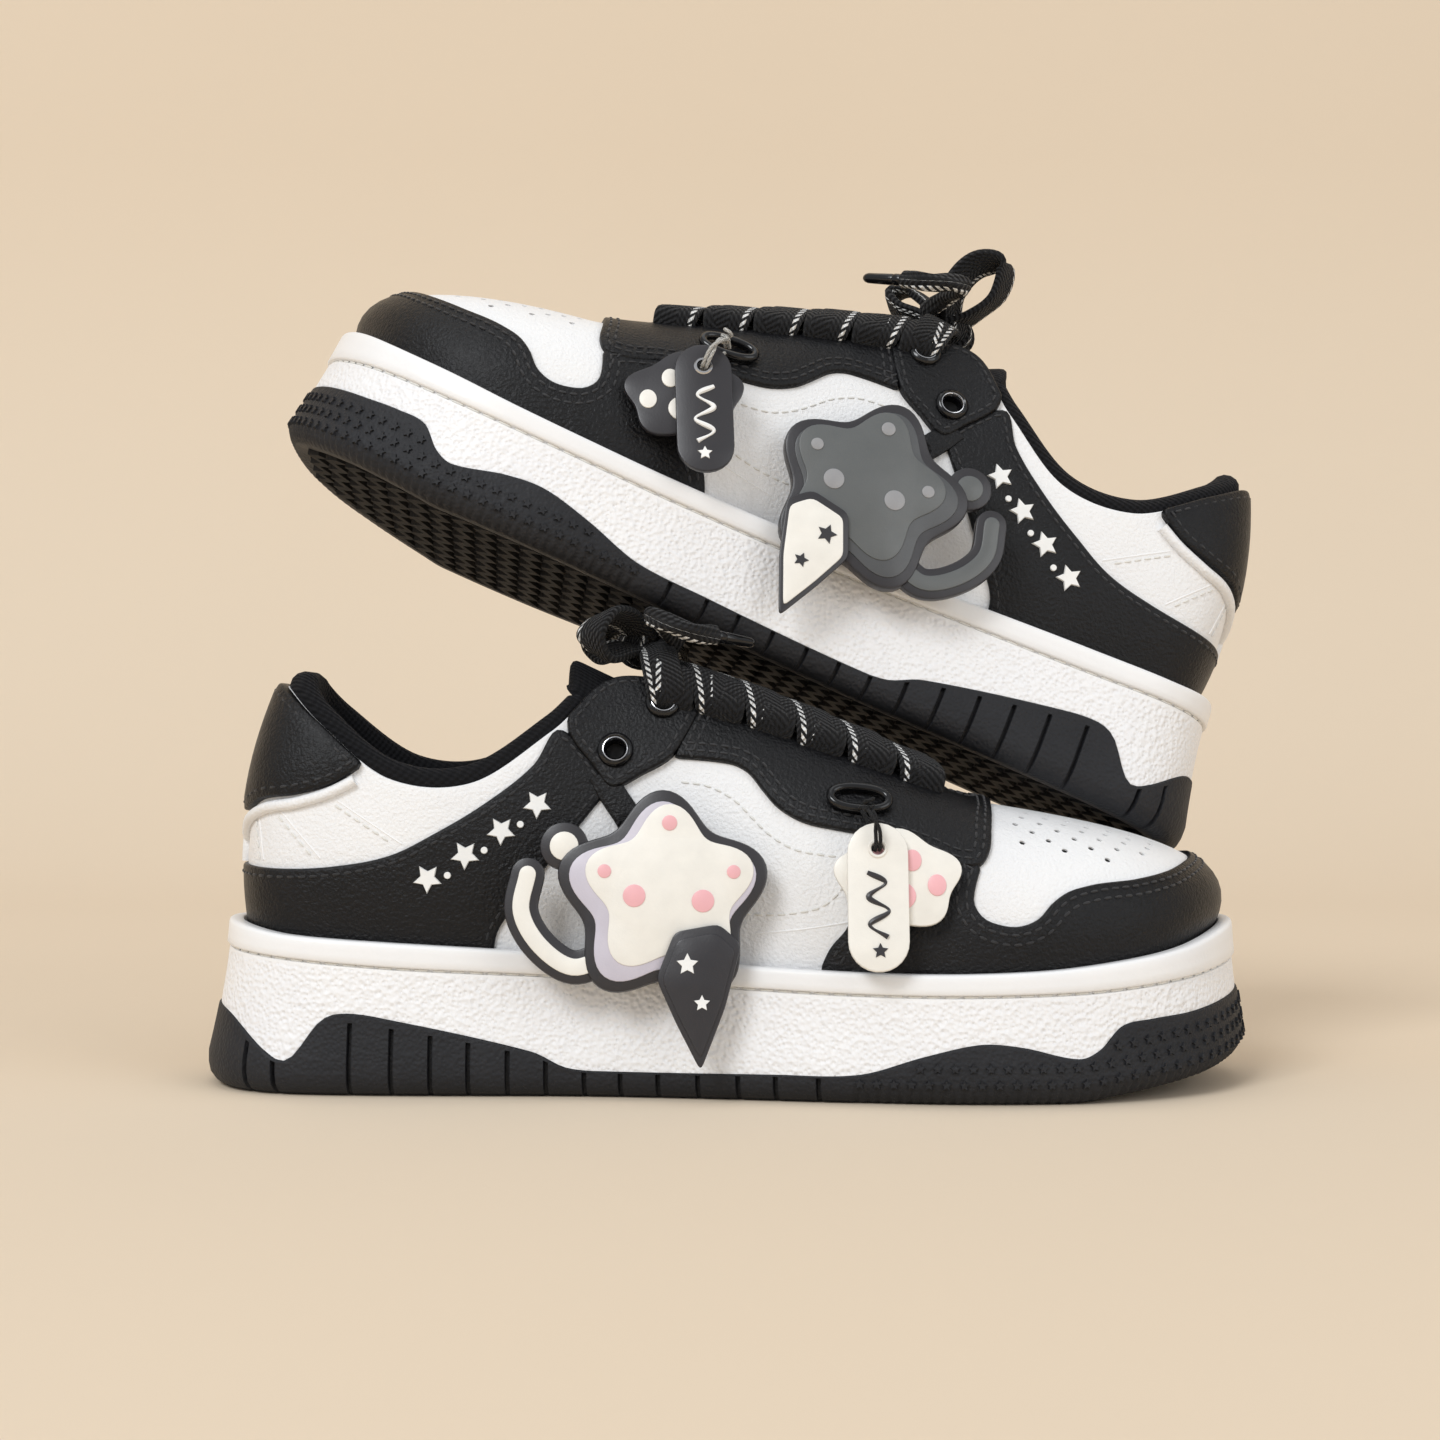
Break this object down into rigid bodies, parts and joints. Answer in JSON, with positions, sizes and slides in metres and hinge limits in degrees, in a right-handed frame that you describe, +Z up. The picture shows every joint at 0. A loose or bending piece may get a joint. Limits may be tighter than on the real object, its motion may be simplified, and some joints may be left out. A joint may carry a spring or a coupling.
{
  "type": "pair of cheer shoes",
  "caption": "Pair of low-top cheer shoes on thick cup soles, laced and tied, with swinging charms and a badge; the left shoe leans on the right one.",
  "frame": {"origin": "middle of the right shoe's length, on the ground under its flat tread", "axes": "+X towards the right shoe's toe, -Y its outer side, +Z up"},
  "size_m": [0.2843, 0.1394, 0.2197],
  "materials": {
    "rubber_black": "matte, grained",
    "rubber_white": "satin, pebbled",
    "board": "matte",
    "textile_black": "knitted, matte",
    "leather_white": "satin, fine grain",
    "leather_black": "satin, pebbled",
    "counter": "matte",
    "eyelet": "gloss, bright inner rim",
    "braid": "braided, white tracer",
    "gloss_black": "gloss",
    "cord_white": "matte",
    "charm_cream": "satin print",
    "charm_black": "satin print",
    "badge_cream": "satin print, dark border",
    "badge_grey": "satin print, dark border"
  },
  "bodies": {
    "right_shoe": {"right_outsole": "rubber_black", "right_cupsole": "rubber_white", "right_lasting_board": "board", "right_sockliner": "textile_black", "right_vamp": "leather_white", "right_quarter_lateral": "leather_white", "right_quarter_medial": "leather_white", "right_toe_guard": "leather_black", "right_foxing": "leather_black", "right_eyestay": "leather_black", "right_heel_tab": "leather_black", "right_heel_counter": "counter", "right_collar": "textile_black", "right_eyelet_tab_lateral": "leather_black", "right_eyelet_tab_medial": "leather_black", "right_eyelet_upper_lateral": "eyelet", "right_eyelet_lower_lateral": "eyelet", "right_eyelet_upper_medial": "eyelet", "right_eyelet_lower_medial": "eyelet", "right_lace": "braid", "right_lace_tail_lateral": "braid", "right_lace_tail_medial": "braid", "right_aglet_lateral": "gloss_black", "right_aglet_medial": "gloss_black", "right_charm_ring": "gloss_black", "right_tag_cord": "braid"},
    "right_tongue": {"right_tongue": "textile_black"},
    "right_tag": {"right_tag": "charm_cream"},
    "right_paw": {"right_paw": "charm_cream"},
    "right_badge": {"right_badge": "badge_cream"},
    "left_shoe": {"left_outsole": "rubber_black", "left_cupsole": "rubber_white", "left_lasting_board": "board", "left_sockliner": "textile_black", "left_vamp": "leather_white", "left_quarter_lateral": "leather_white", "left_quarter_medial": "leather_white", "left_toe_guard": "leather_black", "left_foxing": "leather_black", "left_eyestay": "leather_black", "left_heel_tab": "leather_black", "left_heel_counter": "counter", "left_collar": "textile_black", "left_eyelet_tab_lateral": "leather_black", "left_eyelet_tab_medial": "leather_black", "left_eyelet_upper_lateral": "eyelet", "left_eyelet_lower_lateral": "eyelet", "left_eyelet_upper_medial": "eyelet", "left_eyelet_lower_medial": "eyelet", "left_lace": "braid", "left_lace_tail_lateral": "braid", "left_lace_tail_medial": "braid", "left_aglet_lateral": "gloss_black", "left_aglet_medial": "gloss_black", "left_charm_ring": "gloss_black", "left_tag_cord": "cord_white"},
    "left_tongue": {"left_tongue": "textile_black"},
    "left_tag": {"left_tag": "charm_black"},
    "left_paw": {"left_paw": "charm_black"},
    "left_badge": {"left_badge": "badge_grey"}
  },
  "joints": [
    {"name": "left_shoe_lift", "type": "slide", "parent": "right_shoe", "child": "left_shoe", "axis": [0, 0, 1], "range_m": [0, 0.15]},
    {"name": "right_tag_swing", "type": "hinge", "parent": "right_shoe", "child": "right_tag", "pos_m": [0.036, -0.04704, 0.06251], "axis": [0, 0.9703, -0.2421], "range_deg": [-8, 8]},
    {"name": "right_paw_swing", "type": "hinge", "parent": "right_shoe", "child": "right_paw", "pos_m": [0.036, -0.045, 0.062], "axis": [0, 0.9703, -0.2421], "range_deg": [-8, 8]},
    {"name": "left_tag_swing", "type": "hinge", "parent": "left_shoe", "child": "left_tag", "pos_m": [-0.00725, -0.00676, 0.18689], "axis": [-0.086, 0.932, -0.352], "range_deg": [-8, 8]},
    {"name": "left_paw_swing", "type": "hinge", "parent": "left_shoe", "child": "left_paw", "pos_m": [-0.00744, -0.0048, 0.18615], "axis": [-0.086, 0.932, -0.352], "range_deg": [-8, 8]},
    {"name": "right_badge_flap", "type": "hinge", "parent": "right_shoe", "child": "right_badge", "pos_m": [-0.026, -0.033, 0.07], "axis": [-1, 0, 0], "range_deg": [0, 20]},
    {"name": "left_badge_flap", "type": "hinge", "parent": "left_shoe", "child": "left_badge", "pos_m": [0.05138, 0.0106, 0.1673], "axis": [-0.916, -0.0386, 0.3993], "range_deg": [0, 20]},
    {"name": "right_tongue_press", "type": "hinge", "parent": "right_shoe", "child": "right_tongue", "pos_m": [0.064, 0, 0.059], "axis": [0, -1, 0], "range_deg": [0, 2.5], "stiffness_Nm_per_rad": 0.8},
    {"name": "left_tongue_press", "type": "hinge", "parent": "left_shoe", "child": "left_tongue", "pos_m": [-0.03839, 0.0382, 0.18943], "axis": [-0.0918, 0.9891, -0.1149], "range_deg": [0, 2.5], "stiffness_Nm_per_rad": 0.8}
  ]
}
